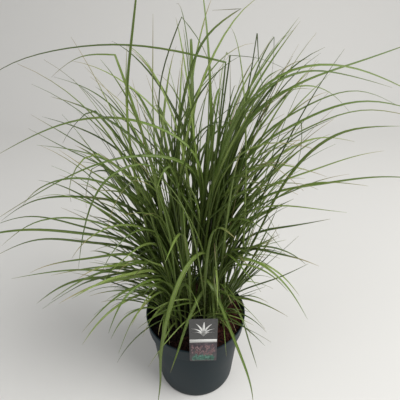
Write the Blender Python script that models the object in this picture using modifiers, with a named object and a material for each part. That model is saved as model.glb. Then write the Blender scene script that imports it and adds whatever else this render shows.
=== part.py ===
"""A clump of ornamental grass in its round nursery pot, with a plant label hooked over the rim.

Metres, +Z up. The origin is the middle of the pot's base, and -Y is the label's side.
Everything that carries or collides is here: the pot, the root ball, the layer of bark,
the label and each shoot of the clump, as its stem and its longest leaf in one solid.
"""

import math

import bpy
import numpy as np
from mathutils import Vector

# --- Pot: a round nursery pot with a straight collar below its rim ---
POT_HEIGHT = 0.208
RIM_RADIUS = 0.115
COLLAR_HEIGHT = 0.036
COLLAR_RADIUS = 0.1118
COLLAR_STEP = 0.0072
BASE_RADIUS = 0.0920
BASE_ROUND = 0.003
WALL = 0.0018
FLOOR = 0.0025
POT_STEPS = 56
DRAIN_HOLES = 6
DRAIN_RADIUS = 0.006
DRAIN_CIRCLE = 0.072

# --- What fills it ---
GAP = 0.0003
ROOT_BALL_TOP = 0.1877
SOIL_TOP = ROOT_BALL_TOP + GAP
BARK_INNER = 0.0775
BARK_OUTER = 0.106
BARK_THICKNESS = 0.008
BARK_LUMPS = 0.006

# --- Label: a printed plastic plate whose tongue hooks over the rim ---
LABEL_PLACE = math.radians(8.5)
LABEL_TURN = math.radians(1.5)
LABEL_WIDTH = 0.057
LABEL_BOTTOM = 0.1805
LABEL_TOP = 0.3155
LABEL_THICKNESS = 0.0008
LABEL_CORNER = 0.003
TONGUE_WIDTH = 0.020
TONGUE_LENGTH = 0.008
TONGUE_CLEARANCE = 0.0018

# --- Shoots: a round stem that opens into a thin folded blade ---
STEM_DIAMETER = 0.0045
BLADE_THICKNESS = 0.0010
BLADE_FOLD = 0.22
TIP_WIDTH = 0.0012
STEM_END = 0.25
BLADE_START = 0.45
STATIONS = 14
FOLD = True

# Name: compass angle of the shoot's upright plane in degrees (0 = +X, 90 = +Y), the plane's
# step to its left and the root's reach along it in cm, the leaf's width in mm, then the points
# (reach, height) in cm that the midline passes. FOLD marks a point where the leaf has kinked.
# Inner shoots rise higher than outer ones, so the arches nest and no two leaves meet.
SHOOTS = {
    # upright in the middle
    "centre_01": (20, 5.0, -2.5, 9, ((-2, 55.8), (1, 73.8), (4, 79.8), (10, 83.8, FOLD),
         (5, 83.8))),
    "centre_02": (8, 6.5, -3, 8, ((-5, 57.8), (-5, 71.8), (-1, 82.8, FOLD), (2, 78.8), (5, 70.8))),
    "centre_03": (100, -4.7, 3.4, 8, ((6, 50.8), (9, 66.8), (14, 79.8), (22, 88.8))),
    # towards the back
    "back_01": (63, 0, 4, 8, ((8, 42.8), (14, 55.8), (24, 63.8), (36, 59.8))),
    "back_02": (78, 0, 4, 8, ((7, 42.8), (13, 56.8), (24, 64.8), (37, 56.8))),
    "back_03": (92, 0, 3, 8, ((5, 46.8), (10, 66.8), (20, 75.8), (32, 70.8), (38, 61.8))),
    "back_04": (109, 0, 5, 9, ((8, 38.8), (14, 52.8), (25, 60.8), (38, 52.8))),
    "back_05": (122, 0, 4, 8, ((8, 43.8), (14, 58.8), (25, 65.8), (36, 60.8))),
    # arching to the left
    "left_01": (172, 0.8, -0.5, 8, ((-3, 50.8), (-5, 77.8, FOLD), (9, 79.8), (21, 78.8),
         (33, 74.8), (40, 69.8))),
    "left_02": (170, 0, 1, 8, ((-1, 45.8), (1, 62.8), (9, 66.8), (19, 66.8), (30, 62.8),
         (41, 56.8))),
    "left_03": (164, 0, 4, 11, ((9, 36.8), (12, 55.8), (12, 70.8), (10, 80.8), (7, 93.8))),
    "left_04": (153, 0, 2.2, 7, ((8, 50.8), (13, 70.8), (15, 76.8, FOLD), (22, 75.8), (31, 70.8))),
    "left_05": (145, 0, 4, 6, ((8, 48.8), (13, 60.8), (21, 66.8), (36, 68.8))),
    "left_06": (159, 0, 5.5, 8, ((8, 45.8), (14, 53.8), (21, 57.8), (35, 63.8))),
    "left_07": (173, 0, 5, 7, ((9, 48.8), (14, 55.8), (21, 59.8), (30, 64.8))),
    "left_08": (182, 0, 4, 6, ((7, 48.8), (12, 57.8), (18, 61.8), (27, 63.8))),
    "left_09": (190, 0, 4, 7, ((7, 44.8), (12, 53.8), (21, 58.8), (28, 56.8), (31, 53.8))),
    "left_10": (217, 0, 3, 7, ((5, 52.8), (10, 62.8), (16, 62.8), (21, 56.8), (24, 47.8))),
    "left_11": (178, 0, 6, 9, ((8, 42.8), (13, 49.8), (21, 51.8), (31, 50.8), (39, 45.8))),
    "left_12": (195, 0, 6, 10, ((8, 36.8), (13, 43.8), (21, 47.8), (31, 50.8), (45, 49.8))),
    "left_13": (185, 0, 6, 7, ((9, 35.8), (14, 42.8), (22, 46.8), (31, 49.8), (39, 47.8))),
    "left_14": (203, 0, 5, 7, ((8, 38.8), (14, 47.8), (22, 53.8), (28, 54.8), (34, 51.8))),
    "left_15": (198, 0, 7, 7, ((9, 31.8), (15, 36.8), (25, 40.8), (35, 41.8))),
    "left_16": (210, 0, 6, 7, ((8, 33.8), (13, 39.8), (20, 43.8), (28, 45.8))),
    "left_17": (189, 0, 7, 8, ((10, 28.8), (18, 33.8), (26, 33.8), (34, 28.8))),
    "left_18": (224, 0, 6, 8, ((8, 32.8), (12, 37.8), (19, 39.8), (27, 36.8))),
    "left_19": (232, 0, 5, 8, ((8, 34.8), (13, 40.8), (19, 41.8), (24, 36.8))),
    "left_20": (217, 0, 7, 5, ((9, 26.8), (12, 29.8), (17, 30.8), (21, 26.8))),
    # over the front of the pot
    "front_01": (236, 3.7, -0.2, 10, ((-0.3, 34), (2, 41.6), (6, 43), (11.2, 39.9), (14.7, 33.8), (17, 26.4),
         (17.8, 19), (19.6, 12))),
    "front_02": (234, 4.2, 0, 8, ((0.4, 29), (2.4, 31.8), (5.9, 30), (8.2, 27.6), (11.3, 22.6),
         (14.6, 17.8))),
    "front_03": (287, 1.9, 5, 7, ((4.6, 35.4, FOLD), (6.1, 32), (7.3, 27), (9.8, 21.8))),
    "front_04": (308, -1.2, 1, 10, ((2.6, 30), (5.4, 35.4), (8.6, 33.4), (12.2, 28.7), (16.4, 23.1),
         (20, 17), (21.6, 11))),
    "front_05": (319, 2.8, 6, 5, ((7, 23.6), (9.2, 25), (12.4, 20.6), (14.8, 14.6), (16.4, 10.8))),
    "front_06": (258, 0, 5, 8, ((6.2, 41.8), (11.4, 52.4), (20, 53.8))),
    "front_07": (290, 0, 5.8, 8, ((7.2, 42.8), (12, 53.8), (19, 56.8))),
    # arching to the right
    "right_01": (12, 0, 2.7, 8, ((5, 50.8), (9, 65.8), (16, 71.8), (28, 75.8), (42, 79.8))),
    "right_02": (2, 0, 1.6, 9, ((4, 56.8), (9, 70.8), (15, 75.8), (22, 76.8), (30, 74.8),
         (41, 69.8))),
    "right_03": (20, 0, 3.4, 8, ((6, 56.8), (12, 70.8), (19, 73.8), (28, 72.8), (41, 68.8))),
    "right_04": (29, 0, 3.2, 7, ((7, 54.8), (12, 65.8), (19, 69.8), (28, 68.8), (38, 61.8))),
    "right_05": (7, 0, 3.9, 8, ((6.5, 50.8), (11, 62.8), (20, 69.8), (27, 71.8), (36, 68.8))),
    "right_06": (-4, 0, 2.8, 8, ((6, 51.8), (10, 61.8), (17, 67.8), (26, 71.8), (38, 69.8))),
    "right_07": (-12, 0, 3.6, 7, ((5, 48.8), (10, 60.8), (18, 67.8), (26, 71.8), (36, 70.8))),
    "right_08": (14, 0, 4.6, 6, ((7, 44.8), (12, 54.8), (18, 61.8), (27, 65.8))),
    "right_09": (36, 0, 4.2, 6, ((8, 42.8), (14, 53.8), (23, 62.8), (35, 69.8))),
    "right_10": (-21, 0, 5, 11, ((9, 34.8), (13, 47.8), (18, 62.8), (24, 69.8), (31, 71.8))),
    "right_11": (-6, 0, 5, 10, ((8, 47.8), (14, 53.8), (23, 56.8), (32, 58.8), (42, 58.8))),
    "right_12": (-29, 0, 5, 6, ((8, 41.8), (14, 54.8), (21, 61.8), (29, 63.8))),
    "right_13": (-14, 0, 6, 7, ((8, 39.8), (12, 45.8), (18, 48.8), (25, 51.8))),
    "right_14": (-35, 0, 6, 7, ((8, 28.8), (11, 34.8), (15, 41.8), (21, 52.8))),
    "right_15": (-29, 0, 7.2, 6, ((9, 29.8), (13, 34.8), (18, 39.8), (23, 45.8))),
    "right_16": (-40, 0, 5.2, 9, ((7, 36.8), (12, 43.8), (19, 43.8), (26, 37.8))),
    "right_17": (34, 0, 2.2, 8, ((5, 54.8), (9, 66.8), (14, 73.8), (22, 81.8))),
    "right_18": (27, 0, 1.4, 8, ((4, 54.8), (9, 66.8), (14, 74.8), (20, 81.8))),
    "right_19": (47, 0, 2.2, 5, ((6, 56.8), (9, 76.8, FOLD), (17, 74.8), (29, 69.8))),
    "right_20": (40, 0, 3, 5, ((7, 50.8), (12, 66.8), (14, 79.8, FOLD), (15, 74.8), (18, 66.8))),
}

COLOURS = {
    "pot": (0.045, 0.058, 0.064),
    "soil": (0.012, 0.009, 0.007),
    "bark": (0.055, 0.020, 0.014),
    "label": (0.070, 0.066, 0.060),
    "leaf": (0.105, 0.200, 0.050),
}


def clear_scene():
    for obj in list(bpy.data.objects):
        bpy.data.objects.remove(obj, do_unlink=True)


def new_collection(name):
    collection = bpy.data.collections.new(name)
    bpy.context.scene.collection.children.link(collection)
    return collection


def make_material(name, colour, roughness):
    material = bpy.data.materials.new(name)
    material.use_nodes = True
    shader = material.node_tree.nodes["Principled BSDF"]
    shader.inputs["Base Color"].default_value = (*colour, 1)
    shader.inputs["Roughness"].default_value = roughness
    shader.inputs["Metallic"].default_value = 0
    return material


def add_object(name, data, collection, colour, roughness):
    obj = bpy.data.objects.new(name, data)
    collection.objects.link(obj)
    data.materials.append(make_material(name + "_finish", COLOURS[colour], roughness))
    return obj


def add_mesh(name, points, edges, faces, collection, colour, roughness):
    mesh = bpy.data.meshes.new(name)
    mesh.from_pydata(points, edges, faces)
    return add_object(name, mesh, collection, colour, roughness)


def turned(name, profile, steps, collection, colour, roughness):
    """A solid of revolution about Z from (radius, height) points that run down its outer side."""
    points = [(radius, 0, height) for radius, height in profile]
    edges = [(i, i + 1) for i in range(len(points) - 1)]
    if profile[0][0] > 0:
        edges.append((len(points) - 1, 0))
    obj = add_mesh(name, points, edges, [], collection, colour, roughness)
    screw = obj.modifiers.new("turn", "SCREW")
    screw.steps = steps
    screw.render_steps = steps
    screw.use_merge_vertices = True
    screw.merge_threshold = 1e-5
    screw.use_smooth_shade = True
    return obj


def wall_radius(height):
    """Outer radius of the pot's tapering wall below its collar."""
    share = height / (POT_HEIGHT - COLLAR_HEIGHT)
    return BASE_RADIUS + share * (COLLAR_RADIUS - COLLAR_STEP - BASE_RADIUS)


def add_pot(collection, cutters):
    collar_foot = POT_HEIGHT - COLLAR_HEIGHT
    profile = [
        (0, FLOOR),
        (wall_radius(FLOOR) - WALL, FLOOR),
        (wall_radius(collar_foot) - WALL, collar_foot - COLLAR_STEP),
        (COLLAR_RADIUS - WALL, collar_foot),
        (RIM_RADIUS - WALL, POT_HEIGHT - WALL / 2),
        (RIM_RADIUS - WALL / 2, POT_HEIGHT),
        (RIM_RADIUS, POT_HEIGHT - WALL / 2),
        (COLLAR_RADIUS, collar_foot),
        (wall_radius(collar_foot), collar_foot - COLLAR_STEP),
        (wall_radius(BASE_ROUND), BASE_ROUND),
        (BASE_RADIUS - BASE_ROUND, 0),
        (0, 0),
    ]
    pot = turned("pot", profile, POT_STEPS, collection, "pot", 0.45)
    for number in range(DRAIN_HOLES):
        angle = math.tau * number / DRAIN_HOLES
        spot = (DRAIN_CIRCLE * math.cos(angle), DRAIN_CIRCLE * math.sin(angle), FLOOR / 2)
        bpy.ops.mesh.primitive_cylinder_add(
            vertices=12, radius=DRAIN_RADIUS, depth=4 * FLOOR, location=spot
        )
        hole = bpy.context.object
        hole.name = f"drain_hole_{number + 1}"
        hole.hide_render = True
        hole.display_type = "WIRE"
        for owner in list(hole.users_collection):
            owner.objects.unlink(hole)
        cutters.objects.link(hole)
        cut = pot.modifiers.new(hole.name, "BOOLEAN")
        cut.operation = "DIFFERENCE"
        cut.object = hole


def add_root_ball(collection):
    collar_foot = POT_HEIGHT - COLLAR_HEIGHT
    inset = WALL + GAP
    profile = [
        (0, ROOT_BALL_TOP),
        (COLLAR_RADIUS - inset, ROOT_BALL_TOP),
        (COLLAR_RADIUS - inset, collar_foot),
        (wall_radius(collar_foot) - inset, collar_foot - COLLAR_STEP),
        (wall_radius(FLOOR) - inset, FLOOR + GAP),
        (0, FLOOR + GAP),
    ]
    turned("root_ball", profile, POT_STEPS, collection, "soil", 0.95)


def add_bark(collection):
    """The loose bark round the crown: a ring whose upper side is lumpy."""
    rings = 5
    step = (BARK_OUTER - BARK_INNER) / rings
    top = SOIL_TOP + BARK_THICKNESS
    profile = [(BARK_INNER + step * (i + 0.5), top) for i in range(rings)]
    profile += [(BARK_OUTER, SOIL_TOP + GAP), (BARK_INNER, SOIL_TOP + GAP)]
    bark = turned("bark_mulch", profile, 64, collection, "bark", 0.9)
    group = bark.vertex_groups.new(name="upper side")
    group.add(list(range(rings)), 1, "REPLACE")
    lumps = bpy.data.textures.new("bark lumps", "CLOUDS")
    lumps.noise_scale = 0.008
    displace = bark.modifiers.new("lumps", "DISPLACE")
    displace.texture = lumps
    displace.texture_coords = "LOCAL"
    displace.direction = "Z"
    displace.strength = BARK_LUMPS
    displace.mid_level = 0.5
    displace.vertex_group = group.name


def rounded_rectangle(width, bottom, top, corner):
    """(x, z) points round a rectangle whose corners are quarter circles."""
    points = []
    middles = (
        (width / 2 - corner, top - corner),
        (corner - width / 2, top - corner),
        (corner - width / 2, bottom + corner),
        (width / 2 - corner, bottom + corner),
    )
    for quarter, (x, z) in enumerate(middles):
        for step in range(5):
            angle = math.pi / 2 * (quarter + step / 4)
            points.append((x + corner * math.cos(angle), z + corner * math.sin(angle)))
    return points


def extruded(name, outline, thickness, collection, colour):
    """A flat closed outline as a 2D curve in the local XY plane, thickened along local Z."""
    curve = bpy.data.curves.new(name, "CURVE")
    curve.dimensions = "2D"
    curve.fill_mode = "BOTH"
    curve.extrude = thickness / 2
    spline = curve.splines.new("POLY")
    spline.points.add(len(outline) - 1)
    for point, (x, y) in zip(spline.points, outline):
        point.co = (x, y, 0, 1)
    spline.use_cyclic_u = True
    return add_object(name, curve, collection, colour, 0.35)


def as_mesh(obj, collection):
    """The same shape as a closed mesh, in place of the curve."""
    bpy.context.view_layer.update()
    graph = bpy.context.evaluated_depsgraph_get()
    mesh = bpy.data.meshes.new_from_object(obj.evaluated_get(graph))
    name = obj.name
    place = obj.matrix_world.copy()
    bpy.data.objects.remove(obj, do_unlink=True)
    solid = bpy.data.objects.new(name, mesh)
    solid.matrix_world = place
    collection.objects.link(solid)
    weld = solid.modifiers.new("weld", "WELD")
    weld.merge_threshold = 1e-5
    return solid


def add_label(collection, cutters):
    """An upright plate outside the rim, joined to a tongue that hooks over it."""
    outline = rounded_rectangle(LABEL_WIDTH, LABEL_BOTTOM, LABEL_TOP, LABEL_CORNER)
    plate = extruded("label", outline, LABEL_THICKNESS, collection, "label")
    plate_middle = RIM_RADIUS + 2 * GAP + LABEL_THICKNESS / 2
    turn = math.tau / 4
    outward = Vector((math.sin(LABEL_TURN), -math.cos(LABEL_TURN), 0))
    along = Vector((math.cos(LABEL_TURN), math.sin(LABEL_TURN), 0))
    shift = RIM_RADIUS * math.sin(LABEL_PLACE - LABEL_TURN)
    plate.location = outward * plate_middle + along * shift
    plate.rotation_euler = (turn, 0, LABEL_TURN)
    plate = as_mesh(plate, collection)

    # The tongue's side view, in (distance outwards, height), is an upside-down L.
    wall_at_tongue = math.sqrt((RIM_RADIUS - WALL) ** 2 - (shift + TONGUE_WIDTH / 2) ** 2)
    inside = wall_at_tongue - TONGUE_CLEARANCE
    over = POT_HEIGHT + GAP
    hook = [
        (plate_middle, over),
        (plate_middle, over + LABEL_THICKNESS),
        (inside - LABEL_THICKNESS, over + LABEL_THICKNESS),
        (inside - LABEL_THICKNESS, over - TONGUE_LENGTH),
        (inside, over - TONGUE_LENGTH),
        (inside, over),
    ]
    tongue = extruded("label_tongue", hook, TONGUE_WIDTH, cutters, "label")
    tongue.location = along * shift
    tongue.rotation_euler = (turn, 0, LABEL_TURN - turn)
    tongue = as_mesh(tongue, cutters)
    tongue.hide_render = True
    tongue.display_type = "WIRE"
    join = plate.modifiers.new("tongue", "BOOLEAN")
    join.operation = "UNION"
    join.object = tongue


def natural_spline(points, count):
    """Points spaced evenly along the smooth curve that bends least through the given ones."""
    points = np.array(points, float)
    spans = np.linalg.norm(np.diff(points, axis=0), axis=1)
    places = np.concatenate([[0], np.cumsum(spans)])
    system = np.eye(len(points))
    bends = np.zeros_like(points)
    for i in range(1, len(points) - 1):
        before, after = spans[i - 1], spans[i]
        system[i, i - 1 : i + 2] = before, 2 * (before + after), after
        slope_before = (points[i] - points[i - 1]) / before
        slope_after = (points[i + 1] - points[i]) / after
        bends[i] = 6 * (slope_after - slope_before)
    bends = np.linalg.solve(system, bends)
    curve = []
    for place in np.linspace(0, places[-1], count):
        i = min(int(np.searchsorted(places, place, "right")) - 1, len(spans) - 1)
        done, left, span = place - places[i], places[i + 1] - place, spans[i]
        curve.append(
            (bends[i] * left**3 + bends[i + 1] * done**3) / (6 * span)
            + (points[i] / span - bends[i] * span / 6) * left
            + (points[i + 1] / span - bends[i + 1] * span / 6) * done
        )
    return np.array(curve)


def midline(root, points):
    """(reach, height) stations in metres from the soil to the tip, smooth except at a fold."""
    runs = [[(root / 100, SOIL_TOP + GAP)]]
    for reach, height, *fold in points:
        place = (reach / 100, height / 100)
        runs[-1].append(place)
        if fold:
            runs.append([place])
    lengths = [sum(math.dist(a, b) for a, b in zip(run, run[1:])) for run in runs]
    stations = []
    for run, length in zip(runs, lengths):
        count = max(4, round(STATIONS * length / sum(lengths)))
        stations.extend(natural_spline(run, count)[1 if stations else 0 :])
    return np.array(stations)


def section_size(share, width):
    """Half width, half thickness and raised edge at a share of the way from root to tip."""
    opening = min(max((share - STEM_END) / (BLADE_START - STEM_END), 0), 1)
    opening = opening * opening * (3 - 2 * opening)
    narrowing = max((share - BLADE_START) / (1 - BLADE_START), 0) ** 2.2
    blade = width + (TIP_WIDTH - width) * narrowing
    half_width = (STEM_DIAMETER + (blade - STEM_DIAMETER) * opening) / 2
    half_thickness = (STEM_DIAMETER + (BLADE_THICKNESS - STEM_DIAMETER) * opening) / 2
    return half_width, half_thickness, BLADE_FOLD * half_width * opening


def add_shoot(name, azimuth, side_step, root, width, points, collection):
    """A loft from the stem's square section to the blade's shallow V, up to the leaf's tip."""
    line = midline(root, points)
    along = np.linalg.norm(np.diff(line, axis=0), axis=1)
    shares = np.concatenate([[0], np.cumsum(along)]) / along.sum()
    forward = np.diff(line, axis=0) / along[:, None]
    tangents = np.vstack([forward[:1], forward[:-1] + forward[1:], forward[-1:]])
    angle = math.radians(azimuth)
    outward = Vector((math.cos(angle), math.sin(angle), 0))
    sideways = Vector((-math.sin(angle), math.cos(angle), 0))
    vertices = []
    for (reach, height), (run, rise), share in zip(line, tangents, shares):
        half_width, half_thickness, edge = section_size(share, width / 1000)
        middle = outward * reach + sideways * (side_step / 100) + Vector((0, 0, height))
        normal = (outward * -rise + Vector((0, 0, run))).normalized()
        vertices += [
            middle + sideways * half_width + normal * edge,
            middle + normal * half_thickness,
            middle - sideways * half_width + normal * edge,
            middle - normal * half_thickness,
        ]
    faces = [(3, 2, 1, 0)]
    for ring in range(0, len(vertices) - 4, 4):
        for corner in range(4):
            following = (corner + 1) % 4
            faces.append(
                (ring + corner, ring + following, ring + 4 + following, ring + 4 + corner)
            )
    last = len(vertices) - 4
    faces.append((last, last + 1, last + 2, last + 3))
    add_mesh("shoot_" + name, vertices, [], faces, collection, "leaf", 0.5)


def main():
    clear_scene()
    grass = new_collection("potted_grass_clump")
    cutters = new_collection("cutters")
    add_pot(grass, cutters)
    add_root_ball(grass)
    add_bark(grass)
    add_label(grass, cutters)
    for name, (azimuth, side_step, root, width, points) in SHOOTS.items():
        add_shoot(name, azimuth, side_step, root, width, points, grass)


main()
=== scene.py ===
"""Looks for a clump of ornamental grass in its nursery pot: leaves, pot, compost, bark and label.

Metres, +Z up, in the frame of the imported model. Each shoot's leaves grow along the shoot's solid.
"""

import math
import random

import bpy
import numpy as np
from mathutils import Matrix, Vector, noise


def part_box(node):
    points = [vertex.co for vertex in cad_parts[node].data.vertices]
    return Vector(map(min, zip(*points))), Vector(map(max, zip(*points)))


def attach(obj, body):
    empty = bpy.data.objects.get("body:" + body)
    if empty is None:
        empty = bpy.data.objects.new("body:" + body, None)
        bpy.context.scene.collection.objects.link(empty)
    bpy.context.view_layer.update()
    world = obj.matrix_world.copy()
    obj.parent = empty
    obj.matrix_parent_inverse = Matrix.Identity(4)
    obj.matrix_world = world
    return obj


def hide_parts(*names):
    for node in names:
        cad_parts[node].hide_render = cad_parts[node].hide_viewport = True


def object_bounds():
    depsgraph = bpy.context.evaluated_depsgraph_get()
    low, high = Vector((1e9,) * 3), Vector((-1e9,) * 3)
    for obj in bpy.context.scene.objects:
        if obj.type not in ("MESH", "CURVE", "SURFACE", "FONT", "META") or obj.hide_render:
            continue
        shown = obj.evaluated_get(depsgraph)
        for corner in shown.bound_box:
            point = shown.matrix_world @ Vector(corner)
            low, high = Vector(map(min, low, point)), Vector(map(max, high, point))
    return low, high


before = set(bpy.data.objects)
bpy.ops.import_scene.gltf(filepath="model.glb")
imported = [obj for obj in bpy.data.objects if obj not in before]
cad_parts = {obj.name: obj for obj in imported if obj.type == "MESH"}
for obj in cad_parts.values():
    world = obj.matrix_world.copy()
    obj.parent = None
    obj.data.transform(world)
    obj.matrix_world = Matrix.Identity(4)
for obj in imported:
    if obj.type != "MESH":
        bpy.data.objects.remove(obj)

CAD_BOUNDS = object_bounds()

# --- Camera: the reference view, as a 36 mm wide sensor and its lens ---
CAMERA_PLACE = (0.0103, -0.631, 0.948)
CAMERA_TILT = math.radians(55.7)
CAMERA_LENS = 36.1
CAMERA_SENSOR = 36

# --- Sizes that the solids have too ---
POT_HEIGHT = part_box("pot")[1].z
RIM_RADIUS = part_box("pot")[1].x
SOIL_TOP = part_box("root_ball")[1].z
COLLAR_HEIGHT = 0.036
COLLAR_RADIUS = 0.1118
COLLAR_STEP = 0.0072
BASE_RADIUS = 0.0920
WALL = 0.0018
FLOOR = 0.0025
DRAIN_HOLES = 6
DRAIN_RADIUS = 0.006
DRAIN_CIRCLE = 0.072

# --- The pot's rounded edges, its rim's slope and the hollow under it, with the moulding's gate ---
INNER_ROUND = 0.004
COLLAR_ROUND = 0.0012
BASE_ROUND = 0.0055
BASE_ROUND_INSET = 0.0052
WALL_FOOT = 0.006
FOOT_WIDTH = 0.012
HOLLOW_INSET = 0.0135
BASE_HOLLOW = 0.0010
GATE_HEIGHT = 0.0004
GATE_RADII = (0.006, 0.004)
RIM_DEPTH = 0.006
RIM_DRAFT = 0.0006
SHARP_ANGLE = math.radians(35)

# --- Compost and bark ---
POT_GAP = 0.0004
FLANK_HEIGHT = 0.150
SOIL_ROUGHNESS = 0.0020
CRUMBS = 900
CRUMB_REACH = 0.080
CRUMB_SIZE = 0.0016
CHIPS = 3400
CHIP_SIZES = (0.0012, 0.0018, 0.0024, 0.0032)
CHIPS_INNER = 0.058
# The chips' tone runs from near black to reddish brown. It has a base, then painted light and shade by
# side (lighter and redder towards the lit +X side, near black towards -X), then a random spread.
BARK_RED = 0.25
BARK_PAINTED_SIDE_SHADE = 0.50
BARK_RED_SPREAD = (-0.20, 0.35)

# --- Grass ---
STEM_DIAMETER = 0.0045
BLADE_THICKNESS = 0.0008
TIP_WIDTH = 0.0003
STEM_END = 0.22
BLADE_START = 0.42
ROOT_DEPTH = 0.003
OWN_LEAF_STATIONS = 44
SIDE_LEAF_STATIONS = 22
FOLD = True

# Each shoot's shorter leaves by its place in the clump: companions, tall ones, ones at the foot
SIDE_LEAVES = {
    "centre": (1, 5, 3),
    "back": (1, 5, 4),
    "left": (6, 2, 2),
    "front": (0, 1, 3),
    "right": (7, 2, 1),
}
# Share of its companions that a shoot gets, by the height in cm that its own leaf reaches
ARC_HEIGHTS = (40, 50, 58, 68, 80)
ARC_SHARES = (0.9, 1.7, 1.3, 0.4, 0.3)

# Ranges that the shorter leaves are drawn from. A START or CUT is a share of the shoot's own leaf,
# an angle is in degrees, a length in metres, and a POWER says how late along it a leaf droops. A
# SPAN is a share of the shorter leaf: that over which it turns away, kinks or leaves its stem.
COMPANION_START = (0.03, 0.25)
COMPANION_CUT = (0.0, 0.25)
COMPANION_TURN = (12, 75)
COMPANION_SPAN = 0.25
COMPANION_SIZE = (0.6, 1.05)
COMPANION_LIFT = (-0.03, 0.12)
COMPANION_RISE = 0.02
TALL_START = (0.05, 0.30)
TALL_SPREAD = 45
TALL_LEAN = (2, 30)
TALL_DROOP = (30, 115)
TALL_POWER = (1.8, 3.2)
TALL_LENGTH = (0.42, 0.78)
KINKED_SHARE = 0.06
KINK_PLACE = (0.7, 0.9)
KINK_ANGLE = (45, 110)
KINK_SPAN = 0.02
LOW_START = (0.01, 0.12)
LOW_SPREAD = 50
LOW_LEAN = (5, 45)
LOW_DROOP = (40, 110)
LOW_POWER = (0.9, 1.8)
LOW_LENGTH = (0.10, 0.26)
STEM_SPAN = 0.14
MOST_DRIFT = 16
MOST_ATTEMPTS = 40

# How the shorter leaves look: 0 is the darkest green and 1 the lightest
SHADES = (0.0, 0.12, 0.46, 0.7, 0.9, 1.0)
SIDE_WIDTH = (0.0045, 0.0092)
SIDE_BLADE_START = 0.22
SIDE_TURN = 30
SIDE_FOLD = (0.30, 0.70)
SIDE_TAPER = (1.6, 2.6)
FULL_WIDTH_LENGTH = 0.5
WITHERED_SHARE = 0.05
WITHERED_WIDTH = 0.5
SLIM_WIDTH = 0.75
LOW_DARKER = 0.05

# The dense middle of the clump, a vase that the tall leaves keep inside: heights, then radii
CROWN_FOOT = 0.20
CROWN_WAIST = 0.40
CROWN_TOP = 0.76
CROWN_FOOT_RADIUS = 0.11
CROWN_WAIST_RADIUS = 0.23
CROWN_TOP_RADIUS = 0.25
CROWN_BACK = 0.055
CROWN_LOOSENESS = (0.95, 1.12)

# Room that the shorter leaves leave round the floor, the pot, the bark and the label
FLOOR_GAP = 0.05
BARE_MIDDLE = 0.074
RIM_GAP = 0.006
WALL_GAP = 0.004
SOIL_DIP = 0.001
LABEL_ZONE = (0.0145, -0.115)
LABEL_ZONE_HALF = (0.036, 0.014)
LABEL_GAP = 0.008

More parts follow.
